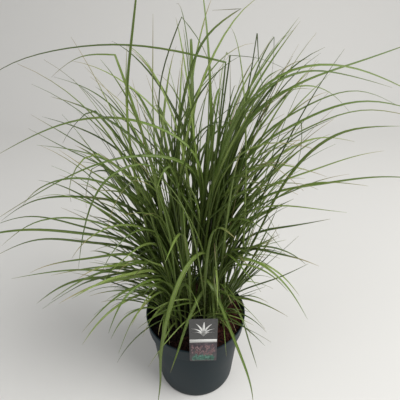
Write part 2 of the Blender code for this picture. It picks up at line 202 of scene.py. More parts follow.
# As in the solids: compass angle of the shoot's upright plane in degrees (0 = +X, 90 = +Y), the
# plane's step to its left and the root's reach along it in cm, the leaf's width in mm, then the
# points (reach, height) in cm that the midline passes. FOLD marks a point where it has kinked.
SHOOTS = {
    # upright in the middle
    "centre_01": (20, 5, -2.5, 9, ((-2, 55.8), (1, 73.8), (4, 79.8), (10, 83.8, FOLD), (5, 83.8))),
    "centre_02": (8, 6.5, -3, 8, ((-5, 57.8), (-5, 71.8), (-1, 82.8, FOLD), (2, 78.8), (5, 70.8))),
    "centre_03": (100, -4.7, 3.4, 8, ((6, 50.8), (9, 66.8), (14, 79.8), (22, 88.8))),
    # towards the back
    "back_01": (63, 0, 4, 8, ((8, 42.8), (14, 55.8), (24, 63.8), (36, 59.8))),
    "back_02": (78, 0, 4, 8, ((7, 42.8), (13, 56.8), (24, 64.8), (37, 56.8))),
    "back_03": (92, 0, 3, 8, ((5, 46.8), (10, 66.8), (20, 75.8), (32, 70.8), (38, 61.8))),
    "back_04": (109, 0, 5, 9, ((8, 38.8), (14, 52.8), (25, 60.8), (38, 52.8))),
    "back_05": (122, 0, 4, 8, ((8, 43.8), (14, 58.8), (25, 65.8), (36, 60.8))),
    # arching to the left
    "left_01": (172, 0.8, -0.5, 8, (
        (-3, 50.8), (-5, 77.8, FOLD), (9, 79.8), (21, 78.8), (33, 74.8), (40, 69.8))),
    "left_02": (170, 0, 1, 8, (
        (-1, 45.8), (1, 62.8), (9, 66.8), (19, 66.8), (30, 62.8), (41, 56.8))),
    "left_03": (164, 0, 4, 11, ((9, 36.8), (12, 55.8), (12, 70.8), (10, 80.8), (7, 93.8))),
    "left_04": (153, 0, 2.2, 7, ((8, 50.8), (13, 70.8), (15, 76.8, FOLD), (22, 75.8), (31, 70.8))),
    "left_05": (145, 0, 4, 6, ((8, 48.8), (13, 60.8), (21, 66.8), (36, 68.8))),
    "left_06": (159, 0, 5.5, 8, ((8, 45.8), (14, 53.8), (21, 57.8), (35, 63.8))),
    "left_07": (173, 0, 5, 7, ((9, 48.8), (14, 55.8), (21, 59.8), (30, 64.8))),
    "left_08": (182, 0, 4, 6, ((7, 48.8), (12, 57.8), (18, 61.8), (27, 63.8))),
    "left_09": (190, 0, 4, 7, ((7, 44.8), (12, 53.8), (21, 58.8), (28, 56.8), (31, 53.8))),
    "left_10": (217, 0, 3, 7, ((5, 52.8), (10, 62.8), (16, 62.8), (21, 56.8), (24, 47.8))),
    "left_11": (178, 0, 6, 9, ((8, 42.8), (13, 49.8), (21, 51.8), (31, 50.8), (39, 45.8))),
    "left_12": (195, 0, 6, 10, ((8, 36.8), (13, 43.8), (21, 47.8), (31, 50.8), (45, 49.8))),
    "left_13": (185, 0, 6, 7, ((9, 35.8), (14, 42.8), (22, 46.8), (31, 49.8), (39, 47.8))),
    "left_14": (203, 0, 5, 7, ((8, 38.8), (14, 47.8), (22, 53.8), (28, 54.8), (34, 51.8))),
    "left_15": (198, 0, 7, 7, ((9, 31.8), (15, 36.8), (25, 40.8), (35, 41.8))),
    "left_16": (210, 0, 6, 7, ((8, 33.8), (13, 39.8), (20, 43.8), (28, 45.8))),
    "left_17": (189, 0, 7, 8, ((10, 28.8), (18, 33.8), (26, 33.8), (34, 28.8))),
    "left_18": (224, 0, 6, 8, ((8, 32.8), (12, 37.8), (19, 39.8), (27, 36.8))),
    "left_19": (232, 0, 5, 8, ((8, 34.8), (13, 40.8), (19, 41.8), (24, 36.8))),
    "left_20": (217, 0, 7, 5, ((9, 26.8), (12, 29.8), (17, 30.8), (21, 26.8))),
    # over the front of the pot
    "front_01": (236, 3.7, -0.2, 10, (
        (-0.3, 34), (2, 41.6), (6, 43), (11.2, 39.9), (14.7, 33.8), (17, 26.4), (17.8, 19), (19.6, 12))),
    "front_02": (234, 4.2, 0, 8, (
        (0.4, 29), (2.4, 31.8), (5.9, 30), (8.2, 27.6), (11.3, 22.6), (14.6, 17.8))),
    "front_03": (287, 1.9, 5, 7, ((4.6, 35.4, FOLD), (6.1, 32), (7.3, 27), (9.8, 21.8))),
    "front_04": (308, -1.2, 1, 10, (
        (2.6, 30), (5.4, 35.4), (8.6, 33.4), (12.2, 28.7), (16.4, 23.1), (20, 17), (21.6, 11))),
    "front_05": (319, 2.8, 6, 5, ((7, 23.6), (9.2, 25), (12.4, 20.6), (14.8, 14.6), (16.4, 10.8))),
    "front_06": (258, 0, 5, 8, ((6.2, 41.8), (11.4, 52.4), (20, 53.8))),
    "front_07": (290, 0, 5.8, 8, ((7.2, 42.8), (12, 53.8), (19, 56.8))),
    # arching to the right
    "right_01": (12, 0, 2.7, 8, ((5, 50.8), (9, 65.8), (16, 71.8), (28, 75.8), (42, 79.8))),
    "right_02": (2, 0, 1.6, 9, (
        (4, 56.8), (9, 70.8), (15, 75.8), (22, 76.8), (30, 74.8), (41, 69.8))),
    "right_03": (20, 0, 3.4, 8, ((6, 56.8), (12, 70.8), (19, 73.8), (28, 72.8), (41, 68.8))),
    "right_04": (29, 0, 3.2, 7, ((7, 54.8), (12, 65.8), (19, 69.8), (28, 68.8), (38, 61.8))),
    "right_05": (7, 0, 3.9, 8, ((6.5, 50.8), (11, 62.8), (20, 69.8), (27, 71.8), (36, 68.8))),
    "right_06": (-4, 0, 2.8, 8, ((6, 51.8), (10, 61.8), (17, 67.8), (26, 71.8), (38, 69.8))),
    "right_07": (-12, 0, 3.6, 7, ((5, 48.8), (10, 60.8), (18, 67.8), (26, 71.8), (36, 70.8))),
    "right_08": (14, 0, 4.6, 6, ((7, 44.8), (12, 54.8), (18, 61.8), (27, 65.8))),
    "right_09": (36, 0, 4.2, 6, ((8, 42.8), (14, 53.8), (23, 62.8), (35, 69.8))),
    "right_10": (-21, 0, 5, 11, ((9, 34.8), (13, 47.8), (18, 62.8), (24, 69.8), (31, 71.8))),
    "right_11": (-6, 0, 5, 10, ((8, 47.8), (14, 53.8), (23, 56.8), (32, 58.8), (42, 58.8))),
    "right_12": (-29, 0, 5, 6, ((8, 41.8), (14, 54.8), (21, 61.8), (29, 63.8))),
    "right_13": (-14, 0, 6, 7, ((8, 39.8), (12, 45.8), (18, 48.8), (25, 51.8))),
    "right_14": (-35, 0, 6, 7, ((8, 28.8), (11, 34.8), (15, 41.8), (21, 52.8))),
    "right_15": (-29, 0, 7.2, 6, ((9, 29.8), (13, 34.8), (18, 39.8), (23, 45.8))),
    "right_16": (-40, 0, 5.2, 9, ((7, 36.8), (12, 43.8), (19, 43.8), (26, 37.8))),
    "right_17": (34, 0, 2.2, 8, ((5, 54.8), (9, 66.8), (14, 73.8), (22, 81.8))),
    "right_18": (27, 0, 1.4, 8, ((4, 54.8), (9, 66.8), (14, 74.8), (20, 81.8))),
    "right_19": (47, 0, 2.2, 5, ((6, 56.8), (9, 76.8, FOLD), (17, 74.8), (29, 69.8))),
    "right_20": (40, 0, 3, 5, ((7, 50.8), (12, 66.8), (14, 79.8, FOLD), (15, 74.8), (18, 66.8))),
}

# How far a leaf's blade turns about its midline by its tip, in radians, where that is plain to see.
TWISTS = {"left_03": 1.5, "front_01": 0.1, "front_02": 0.2, "front_04": -0.2, "right_10": 0.9}

# How wide a leaf's blade is against its solid, where not the usual share of its place.
BLADE_SHARE = {"front_04": 0.78, "front_05": 0.8}
USUAL_SHARE = 0.85
FRONT_SHARE = 1.0

# How late along a shoot's own leaf its blade narrows: at the front it stays broad the longest.
USUAL_TAPER = 2.0
FRONT_TAPER = 2.8

# Painted light: shoots towards the lit front whose leaves take a lighter yellow-green than the usual mid
# green.
PAINTED_LIGHT_SHOOTS = {
    "front_01": 0.74, "front_02": 0.70, "front_03": 0.64, "front_04": 0.50, "front_06": 0.7,
    "front_07": 0.7, "right_10": 0.65, "right_16": 0.6, "left_18": 0.45, "left_19": 0.5,
}

# Ranges for the shoots' own leaves: the others' shade of green, the fold's depth, the tip's dryness
OWN_SHADE = (0.05, 0.72)
OWN_FOLD = (0.30, 0.55)
OWN_DRYNESS = (0, 0.5)

# A blade's turn towards the light, which is most at the sides, and its turn either way besides
LIT_TWIST = 0.55
LIT_TWIST_SPREAD = (0.0, 1.4)
LOOSE_TWIST = (-0.4, 0.4)


# ---------------------------------------------------------------- materials


class Nodes:
    """Adds shader nodes to a new material and wires them, one short call for each."""

    def __init__(self, name):
        self.material = bpy.data.materials.new(name)
        self.material.use_nodes = True
        self.tree = self.material.node_tree
        self.shader = self.tree.nodes["Principled BSDF"]

    def add(self, kind, **settings):
        node = self.tree.nodes.new("ShaderNode" + kind)
        for key, value in settings.items():
            setattr(node, key, value)
        return node

    def link(self, output, target):
        self.tree.links.new(output, target)

    def feed(self, value, target):
        """Wires an output socket to target, or sets a plain number or colour on it."""
        if isinstance(value, bpy.types.NodeSocket):
            self.link(value, target)
        elif isinstance(value, tuple) and len(value) == 3:
            target.default_value = (*value, 1)
        else:
            target.default_value = value

    def math(self, operation, first, second=0.0):
        node = self.add("Math", operation=operation)
        self.feed(first, node.inputs[0])
        self.feed(second, node.inputs[1])
        return node.outputs[0]

    def ramp(self, value, low, high, smooth=True):
        """0 where value is at low, 1 where it is at high."""
        node = self.add("MapRange", interpolation_type="SMOOTHSTEP" if smooth else "LINEAR")
        self.feed(value, node.inputs["Value"])
        node.inputs["From Min"].default_value = low
        node.inputs["From Max"].default_value = high
        return node.outputs["Result"]

    def mix(self, share, first, second, blend="MIX"):
        node = self.add("Mix", data_type="RGBA", blend_type=blend)
        self.feed(share, node.inputs[0])
        self.feed(first, node.inputs[6])
        self.feed(second, node.inputs[7])
        return node.outputs[2]

    def noise(self, vector, scale, detail=3.0, roughness=0.55):
        node = self.add("TexNoise")
        node.inputs["Scale"].default_value = scale
        node.inputs["Detail"].default_value = detail
        node.inputs["Roughness"].default_value = roughness
        if vector is not None:
            self.link(vector, node.inputs["Vector"])
        return node.outputs["Fac"]

    def place(self):
        """Position on the object, in metres."""
        return self.add("TexCoord").outputs["Object"]

    def bump(self, height, strength, distance):
        node = self.add("Bump")
        node.inputs["Strength"].default_value = strength
        node.inputs["Distance"].default_value = distance
        self.link(height, node.inputs["Height"])
        self.link(node.outputs["Normal"], self.shader.inputs["Normal"])

    def finish(self, colour, roughness, specular=0.5):
        self.feed(colour, self.shader.inputs["Base Color"])
        self.feed(roughness, self.shader.inputs["Roughness"])
        self.shader.inputs["Specular IOR Level"].default_value = specular
        return self.material


def leaf_material():
    """Grass blade: across it a pale midrib and fine veins, along it a paler foot and dry tip."""
    dark, middle, light = (0.014, 0.034, 0.004), (0.111, 0.188, 0.026), (0.325, 0.430, 0.115)
    olive, dull = (0.130, 0.160, 0.030), (0.150, 0.200, 0.060)
    pale_rib, dark_vein, pale_foot = (0.370, 0.430, 0.190), (0.035, 0.075, 0.014), (0.150, 0.165, 0.060)
    straw_light, straw_dark = (0.340, 0.290, 0.140), (0.200, 0.165, 0.075)
    vein_count = 11
    nodes = Nodes("grass_blade")
    uv = nodes.add("SeparateXYZ")
    nodes.link(nodes.add("UVMap", uv_map="blade").outputs["UV"], uv.inputs[0])
    across, along = uv.outputs[0], uv.outputs[1]
    paint = nodes.add("SeparateColor")
    nodes.link(nodes.add("Attribute", attribute_name="paint").outputs["Color"], paint.inputs[0])
    tone, dryness, underside = paint.outputs[0], paint.outputs[1], paint.outputs[2]

    green = nodes.mix(nodes.ramp(tone, 0.0, 0.5, False), dark, middle)
    green = nodes.mix(nodes.ramp(tone, 0.5, 1.0, False), green, light)
    streak_place = nodes.add("CombineXYZ")
    nodes.link(nodes.math("MULTIPLY", across, 5.0), streak_place.inputs[0])
    nodes.link(nodes.math("MULTIPLY", along, 9.0), streak_place.inputs[1])
    nodes.link(nodes.math("MULTIPLY", tone, 37.0), streak_place.inputs[2])
    streaks = nodes.noise(streak_place.outputs[0], 1.6, 4.0)
    green = nodes.mix(nodes.ramp(streaks, 0.35, 0.75), green, olive)
    green = nodes.mix(nodes.math("MULTIPLY", underside, 0.35), green, dull)

    off_middle = nodes.math("ABSOLUTE", nodes.math("SUBTRACT", across, 0.5))
    fading = nodes.math("SUBTRACT", 0.75, nodes.math("MULTIPLY", along, 0.45))
    midrib = nodes.math("SUBTRACT", 1.0, nodes.ramp(off_middle, 0.035, 0.085))
    midrib = nodes.math("MULTIPLY", midrib, fading)
    green = nodes.mix(midrib, green, pale_rib)
    veins = nodes.math("SINE", nodes.math("MULTIPLY", across, math.tau * vein_count))
    green = nodes.mix(nodes.ramp(veins, 0.2, 1.0), green, dark_vein)

    foot = nodes.math("SUBTRACT", 1.0, nodes.ramp(along, 0.0, 0.16))
    colour = nodes.mix(nodes.math("MULTIPLY", foot, 0.55), green, pale_foot)
    straw = nodes.mix(streaks, straw_light, straw_dark)
    tip = nodes.ramp(nodes.math("ADD", along, nodes.math("MULTIPLY", dryness, 0.30)), 0.98, 1.16)
    colour = nodes.mix(tip, colour, straw)
    withered = nodes.ramp(dryness, 0.80, 0.95)
    colour = nodes.mix(withered, colour, straw)

    nodes.bump(nodes.math("ADD", veins, nodes.math("MULTIPLY", midrib, -2.0)), 0.25, 0.0002)
    roughness = nodes.math("ADD", 0.26, nodes.math("MULTIPLY", streaks, 0.16))
    return nodes.finish(colour, roughness, 0.28)


def pot_material():
    """Dark slate polypropylene: a fine moulded grain, faint flow streaks and a little dust."""
    nodes = Nodes("slate_plastic")
    place = nodes.place()
    height = nodes.add("SeparateXYZ")
    nodes.link(place, height.inputs[0])
    cloud = nodes.noise(place, 14, 5.0)
    colour = nodes.mix(nodes.ramp(cloud, 0.3, 0.7), (0.006, 0.0155, 0.0205), (0.009, 0.021, 0.027))
    dust = nodes.math("MULTIPLY", nodes.ramp(nodes.noise(place, 70, 6.0, 0.7), 0.55, 0.85), 0.35)
    colour = nodes.mix(dust, colour, (0.030, 0.040, 0.044))
    near_floor = nodes.math("SUBTRACT", 1.0, nodes.ramp(height.outputs[2], 0.0, 0.020))
    colour = nodes.mix(nodes.math("MULTIPLY", near_floor, 0.25), colour, (0.070, 0.068, 0.062))
    nodes.bump(nodes.noise(place, 900, 2.0), 0.12, 0.0003)
    roughness = nodes.math("ADD", 0.38, nodes.math("MULTIPLY", cloud, 0.18))
    return nodes.finish(colour, roughness, 0.15)


def compost_material():
    """Moist dark compost, taken down to near black as painted shade in the pot's mouth: fine crumbs,
    fully rough.
    """
    nodes = Nodes("dark_compost_and_painted_shade")
    place = nodes.place()
    crumb = nodes.noise(place, 220, 6.0, 0.7)
    # near black: the compost's own dark brown, deepened as painted shade
    colour = nodes.mix(nodes.ramp(crumb, 0.35, 0.7), (0.003, 0.0025, 0.002), (0.016, 0.011, 0.008))
    nodes.bump(crumb, 0.8, 0.002)
    return nodes.finish(colour, 0.92, 0.2)


def bark_material():
    """Reddish-brown chips, each with its own tone, which also carries painted shade, with grain along
    the chip.
    """
    nodes = Nodes("reddish_bark")
    paint = nodes.add("SeparateColor")
    nodes.link(nodes.add("Attribute", attribute_name="paint").outputs["Color"], paint.inputs[0])
    place = nodes.place()
    grain = nodes.noise(place, 420, 5.0, 0.65)
    # the chip's tone, painted shade included, runs from near black to reddish brown
    colour = nodes.mix(paint.outputs[0], (0.003, 0.0025, 0.002), (0.062, 0.018, 0.013))
    colour = nodes.mix(nodes.ramp(grain, 0.4, 0.75), colour, (0.014, 0.006, 0.005))
    nodes.bump(grain, 0.6, 0.0010)
    return nodes.finish(colour, 0.9, 0.12)


def printed_material(name, colour, second, scale=300.0, roughness=0.38):
    """Satin print, with the slight mottling of ink on plastic card."""
    nodes = Nodes(name)
    mottle = nodes.noise(nodes.place(), scale, 3.0)
    print_colour = nodes.mix(nodes.ramp(mottle, 0.3, 0.7), colour, second)
    return nodes.finish(print_colour, roughness, 0.4)


def plain_material(name, colour, roughness):
    nodes = Nodes(name)
    return nodes.finish(colour, roughness, 0.2)


# ---------------------------------------------------------------- meshes


class Build:
    """Collects vertices, faces, blade coordinates and paint, then makes one mesh object."""

    def __init__(self):
        self.vertices = []
        self.faces = []
        self.blade = []
        self.paint = []
        self.count = 0

    def add(self, vertices, faces, blade=None, paint=(0.5, 0.0, 0.0)):
        vertices = np.asarray(vertices, float)
        self.vertices.append(vertices)
        self.faces.extend([tuple(self.count + i for i in face) for face in faces])
        self.blade.append(np.zeros((len(vertices), 2)) if blade is None else blade)
        rows = np.asarray(paint, float)
        self.paint.append(rows if rows.ndim == 2 else np.tile(rows, (len(vertices), 1)))
        self.count += len(vertices)

    def object(self, name, material):
        mesh = bpy.data.meshes.new(name)
        mesh.from_pydata(np.vstack(self.vertices).tolist(), [], self.faces)
        corners = np.empty(len(mesh.loops), np.int32)
        mesh.loops.foreach_get("vertex_index", corners)
        layer = mesh.uv_layers.new(name="blade")
        layer.data.foreach_set("uv", np.vstack(self.blade)[corners].astype(np.float32).ravel())
        paint = np.vstack(self.paint)
        paint = np.hstack([paint, np.ones((len(paint), 1))]).astype(np.float32)
        colours = mesh.color_attributes.new("paint", "FLOAT_COLOR", "POINT")
        colours.data.foreach_set("color", paint.ravel())
        mesh.shade_smooth()
        mesh.materials.append(material)
        obj = bpy.data.objects.new(name, mesh)
        bpy.context.scene.collection.objects.link(obj)
        return obj


def settle(piece, slot, *nodes):
    """Hangs the piece from the root body and hides the solids that it stands for; its slot, the finish
    it takes, is not used.
    """
    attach(piece, "root")
    if nodes:
        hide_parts(*nodes)
    return piece


def smoothstep(value):
    value = np.clip(value, 0, 1)
    return value * value * (3 - 2 * value)


def clamp(value, low, high):
    return min(max(value, low), high)


def rotation(axis, angle):
    """The matrix that turns a point by an angle in radians about the X, Y or Z axis."""
    first, second = {"X": (1, 2), "Y": (2, 0), "Z": (0, 1)}[axis]
    matrix = np.eye(3)
    matrix[first, first] = matrix[second, second] = math.cos(angle)
    matrix[second, first] = math.sin(angle)
    matrix[first, second] = -math.sin(angle)
    return matrix


def shares_along(line):
    """How far along the line each of its points lies, from 0 to 1."""
    steps = np.linalg.norm(np.diff(line, axis=0), axis=1)
    return np.concatenate([[0], np.cumsum(steps)]) / steps.sum()


# ---------------------------------------------------------------- grass


def natural_spline(points, count):
    """Points spaced evenly along the smooth curve that bends least through the given ones."""
    points = np.array(points, float)
    spans = np.linalg.norm(np.diff(points, axis=0), axis=1)
    places = np.concatenate([[0], np.cumsum(spans)])
    system = np.eye(len(points))
    bends = np.zeros_like(points)
    for i in range(1, len(points) - 1):
        before, after = spans[i - 1], spans[i]
        system[i, i - 1 : i + 2] = before, 2 * (before + after), after
        slope_before = (points[i] - points[i - 1]) / before
        slope_after = (points[i + 1] - points[i]) / after
        bends[i] = 6 * (slope_after - slope_before)
    bends = np.linalg.solve(system, bends)
    curve = []
    for place in np.linspace(0, places[-1], count):
        i = min(int(np.searchsorted(places, place, "right")) - 1, len(spans) - 1)
        done, left, span = place - places[i], places[i + 1] - place, spans[i]
        curve.append(
            (bends[i] * left**3 + bends[i + 1] * done**3) / (6 * span)
            + (points[i] / span - bends[i] * span / 6) * left
            + (points[i + 1] / span - bends[i + 1] * span / 6) * done
        )
    return np.array(curve)


def midline(root, points):
    """(reach, height) stations from the compost to the tip, smooth except at a fold."""
    runs = [[(root / 100, SOIL_TOP)]]
    for reach, height, *fold in points:
        place = (reach / 100, height / 100)
        runs[-1].append(place)
        if fold:
            runs.append([place])
    lengths = [sum(math.dist(a, b) for a, b in zip(run, run[1:])) for run in runs]
    line = []
    for run, length in zip(runs, lengths):
        count = max(6, round(OWN_LEAF_STATIONS * length / sum(lengths)))
        line.extend(natural_spline(run, count)[1 if line else 0 :])
    return np.array(line)


def compass(azimuth):
    """Level directions outwards at a compass angle in degrees, and to the left of that."""
    angle = math.radians(azimuth)
    outward = np.array([math.cos(angle), math.sin(angle), 0])
    return outward, np.array([-outward[1], outward[0], 0])


def add_blade(build, line, sideways, width, stem_end, blade_start, twist, fold, tone, dryness, taper):
    """One leaf as a closed ribbon of eight-point rings: round at its foot, then a shallow V."""
    share = shares_along(line)
    forward = np.diff(line, axis=0)
    forward /= np.linalg.norm(forward, axis=1)[:, None]
    tangent = np.vstack([forward[:1], forward[:-1] + forward[1:], forward[-1:]])
    tangent /= np.linalg.norm(tangent, axis=1)[:, None]
    side = sideways - (tangent @ sideways)[:, None] * tangent
    side /= np.linalg.norm(side, axis=1)[:, None]
    upper = np.cross(tangent, side)
    turn = (twist * smoothstep((share - stem_end) / (1 - stem_end)))[:, None]
    side, upper = side * np.cos(turn) + upper * np.sin(turn), upper * np.cos(turn) - side * np.sin(turn)

    opening = smoothstep((share - stem_end) / (blade_start - stem_end))
    narrowing = np.clip((share - blade_start) / (1 - blade_start), 0, 1) ** taper
    blade_width = width * (1 - narrowing) + TIP_WIDTH * narrowing
    stem = STEM_DIAMETER * (1 - 0.15 * share) if stem_end > 0 else np.full(len(line), width * 0.35)
    half = (stem + (blade_width - stem) * opening) / 2
    thick = (stem + (BLADE_THICKNESS * (1 - 0.6 * narrowing) - stem) * opening) / 2
    raised = fold * half * opening
    near_edge = 0.42 * raised
    near_x = half * (0.7 * (1 - opening) + 0.5 * opening)
    near_thick = thick * (0.7 + 0.2 * opening)
    middle = np.zeros_like(half)
    ring = [
        (-half, raised),
        (-near_x, near_edge + near_thick),
        (middle, thick * (1 - 0.5 * opening)),
        (near_x, near_edge + near_thick),
        (half, raised),
        (near_x, near_edge - near_thick),
        (middle, -thick * (1 + 0.6 * opening)),
        (-near_x, near_edge - near_thick),
    ]
    across = np.array([0, 0.25, 0.5, 0.75, 1, 0.75, 0.5, 0.25])
    under = np.array([0, 0, 0, 0, 0, 1, 1, 1])
    points = np.stack([line + side * x[:, None] + upper * y[:, None] for x, y in ring], axis=1)
    stations, corners = len(line), len(ring)
    blade = np.stack([np.tile(across, stations), np.repeat(share, corners)], axis=1)
    count = stations * corners
    paint = np.stack([np.full(count, tone), np.full(count, dryness), np.tile(under, stations)], axis=1)
    faces = [tuple(range(corners))]
    for first in range(0, count - corners, corners):
        for i in range(corners):
            j = (i + 1) % corners
            faces.append((first + i, first + corners + i, first + corners + j, first + j))
    faces.append(tuple(range(count - 1, count - corners - 1, -1)))
    build.add(points.reshape(-1, 3), faces, blade, paint)


def leaf_line(rng, start, stem_direction, heading, lean, droop, power, length, kink=None):
    """A leaf that leaves its stem along it, then leans out and droops, perhaps with one kink."""
    share = np.linspace(0, 1, SIDE_LEAF_STATIONS)
    leaning = lean + droop * share**power
    if kink:
        place, angle = kink
        leaning = leaning + np.radians(angle) * smoothstep((share - place) / KINK_SPAN)
    drift = np.radians(heading + rng.uniform(-MOST_DRIFT, MOST_DRIFT) * share)
    direction = np.stack(
        [np.sin(leaning) * np.cos(drift), np.sin(leaning) * np.sin(drift), np.cos(leaning)], axis=1
    )
    leaving = smoothstep(share / STEM_SPAN)[:, None]
    direction = stem_direction * (1 - leaving) + direction * leaving
    direction /= np.linalg.norm(direction, axis=1)[:, None]
    steps = direction[:-1] * (length / (SIDE_LEAF_STATIONS - 1))
    return np.vstack([start, start + np.cumsum(steps, axis=0)])


def stays_clear(line):
    """Whether a leaf keeps inside the solids' box and out of the pot, the bark and the label."""
    low, high = CAD_BOUNDS
    inside = np.all(line > np.array(low) + (0, 0, FLOOR_GAP)) and np.all(line < np.array(high))
    x, y, z = line.T
    radius = np.hypot(x, y)
    over_bark = (radius > BARE_MIDDLE) & (radius < RIM_RADIUS + RIM_GAP)
    through_pot = over_bark & (z < POT_HEIGHT + RIM_GAP)
    in_soil = (radius < RIM_RADIUS + WALL_GAP) & (z < SOIL_TOP - SOIL_DIP)
    at_label = (np.abs(x - LABEL_ZONE[0]) < LABEL_ZONE_HALF[0]) & (z < LABEL_TOP + LABEL_GAP)
    at_label &= np.abs(y - LABEL_ZONE[1]) < LABEL_ZONE_HALF[1]
    return inside and not (through_pot | in_soil | at_label).any()


def in_crown(line, looseness):
    """Whether a leaf keeps to the dense middle of the clump, which widens upwards like a vase."""
    widening = smoothstep((line[:, 2] - CROWN_FOOT) / (CROWN_WAIST - CROWN_FOOT))
    flaring = smoothstep((line[:, 2] - CROWN_WAIST) / (CROWN_TOP - CROWN_WAIST))
    reach = CROWN_FOOT_RADIUS + (CROWN_WAIST_RADIUS - CROWN_FOOT_RADIUS) * widening
    reach += (CROWN_TOP_RADIUS - CROWN_WAIST_RADIUS) * flaring
    off_axis = np.hypot(line[:, 0], line[:, 1] - CROWN_BACK)
    return bool(np.all(off_axis < reach * looseness) and line[:, 2].max() < CROWN_TOP * looseness)


def companion_line(rng, line):
    """A shorter leaf that follows the shoot's longest one, turned to one side of it."""
    first = int(len(line) * rng.uniform(*COMPANION_START))
    last = len(line) - int(len(line) * rng.uniform(*COMPANION_CUT))
    turn = math.radians(rng.uniform(*COMPANION_TURN) * rng.choice((-1, 1)))
    away = (line[first:last] - line[first]) * rng.uniform(*COMPANION_SIZE)
    turned_away = away @ rotation("Z", turn).T
    share = np.linspace(0, 1, len(away))
    mix = smoothstep(share / COMPANION_SPAN)[:, None]
    leaf = line[first] + away * (1 - mix) + turned_away * mix
    leaf[:, 2] += rng.uniform(*COMPANION_LIFT) * share**2
    return leaf


def tall_line(rng, line, share, azimuth):
    """A long leaf that rises beside the shoot's own and bends over towards its tip."""
    i = int(np.searchsorted(share, rng.uniform(*TALL_START)))
    stem_direction = (line[i + 1] - line[i - 1]) / np.linalg.norm(line[i + 1] - line[i - 1])
    heading = azimuth + rng.gauss(0, TALL_SPREAD)
    lean = math.radians(rng.uniform(*TALL_LEAN))
    droop = math.radians(rng.uniform(*TALL_DROOP))
    kinked = rng.random() < KINKED_SHARE
    kink = (rng.uniform(*KINK_PLACE), rng.uniform(*KINK_ANGLE)) if kinked else None
    power = rng.uniform(*TALL_POWER)
    length = rng.uniform(*TALL_LENGTH)
    return leaf_line(rng, line[i], stem_direction, heading, lean, droop, power, length, kink)


def low_line(rng, line, share, azimuth):
    """A short leaf from the foot of the stem that arches low over the pot's rim."""
    i = int(np.searchsorted(share, rng.uniform(*LOW_START)))
    stem_direction = (line[i + 1] - line[i]) / np.linalg.norm(line[i + 1] - line[i])
    lean = math.radians(rng.uniform(*LOW_LEAN))
    droop = math.radians(rng.uniform(*LOW_DROOP))
    heading = azimuth + rng.gauss(0, LOW_SPREAD)
    power = rng.uniform(*LOW_POWER)
    length = rng.uniform(*LOW_LENGTH)
    return leaf_line(rng, line[i], stem_direction, heading, lean, droop, power, length)


def side_line(rng, kind, line, azimuth):
    """The line of one shorter leaf that keeps clear, or None where no attempt gives one."""
    share = shares_along(line)
    highest = line[:, 2].max() + COMPANION_RISE
    for _attempt in range(MOST_ATTEMPTS):
        if kind == "companion":
            leaf = companion_line(rng, line)
            fits = leaf[:, 2].max() <= highest and stays_clear(leaf)
        elif kind == "tall":
            leaf = tall_line(rng, line, share, azimuth)
            fits = stays_clear(leaf) and in_crown(leaf, rng.uniform(*CROWN_LOOSENESS))
        else:
            leaf = low_line(rng, line, share, azimuth)
            fits = stays_clear(leaf)
        if fits:
            return leaf
    return None


def side_look(rng, kind, length, tone):
    """The width, the shade of green and the dryness of one shorter leaf."""
    shade = clamp(rng.choice(SHADES) + 0.5 * (tone - 0.4) + rng.gauss(0, 0.06), 0.0, 1.0)
    width = rng.uniform(*SIDE_WIDTH) * (0.5 + 0.6 * min(length / FULL_WIDTH_LENGTH, 1))
    dryness = rng.choice((0, 0.15, 0.35, 0.6, rng.uniform(0.4, 0.75)))
    if kind == "tall" and rng.random() < WITHERED_SHARE:
        dryness, width = 1.0, width * WITHERED_WIDTH
    if kind in ("tall", "low"):
        width *= SLIM_WIDTH
    if kind == "low":
        shade = max(shade - LOW_DARKER, 0.0)
    return width, shade, dryness


def add_side_leaves(build, rng, line, azimuth, tone, companions, tall, low):
    """The shoot's shorter leaves: companions of the longest one, tall ones and low ones."""
    for kind in ["companion"] * companions + ["tall"] * tall + ["low"] * low:
        leaf = side_line(rng, kind, line, azimuth)
        if leaf is None:
            continue
        length = np.linalg.norm(np.diff(leaf, axis=0), axis=1).sum()
        width, shade, dryness = side_look(rng, kind, length, tone)
        sideways = compass(azimuth + rng.gauss(0, SIDE_TURN))[1]
        twist = lit_twist(rng, azimuth)
        fold = rng.uniform(*SIDE_FOLD)
        taper = rng.uniform(*SIDE_TAPER)
        add_blade(build, leaf, sideways, width, 0, SIDE_BLADE_START, twist, fold, shade, dryness, taper)


def lit_twist(rng, azimuth):
    """How far a blade turns about its midline: mostly towards the light from the front."""
    lit = LIT_TWIST * math.cos(math.radians(azimuth)) * rng.uniform(*LIT_TWIST_SPREAD)
    return lit + rng.uniform(*LOOSE_TWIST)


def add_shoot(name, azimuth, side_step, root, width, points, material):
    """One shoot as one mesh: its own long leaf along the solid, then its shorter leaves."""
    rng = random.Random("shoot " + name)
    place = name.split("_")[0]
    at_front = place == "front"
    outward, sideways = compass(azimuth)
    flat = midline(root, points)
    line = flat[:, :1] * outward + side_step / 100 * sideways + flat[:, 1:] * np.array([0, 0, 1])
    line[0, 2] -= ROOT_DEPTH
    build = Build()
    # painted light: shoots towards the lit front take a lighter green from their table
    tone = PAINTED_LIGHT_SHOOTS.get(name, 0.0) or rng.uniform(*OWN_SHADE)
    width *= BLADE_SHARE.get(name, FRONT_SHARE if at_front else USUAL_SHARE) / 1000
    twist = TWISTS.get(name, lit_twist(rng, azimuth))
    fold = rng.uniform(*OWN_FOLD)
    dryness = rng.uniform(*OWN_DRYNESS)
    taper = FRONT_TAPER if at_front else USUAL_TAPER
    add_blade(build, line, sideways, width, STEM_END, BLADE_START, twist, fold, tone, dryness, taper)
    companions, tall, low = SIDE_LEAVES[place]
    kinked = any(FOLD in point[2:] for point in points)
    highest = max(point[1] for point in points)
    companions = 0 if kinked else round(companions * np.interp(highest, ARC_HEIGHTS, ARC_SHARES))
    add_side_leaves(build, rng, line, azimuth, tone, companions, tall, low)
    settle(build.object("grass_" + name, material), "leaf", "shoot_" + name)


# ---------------------------------------------------------------- pot and what fills it


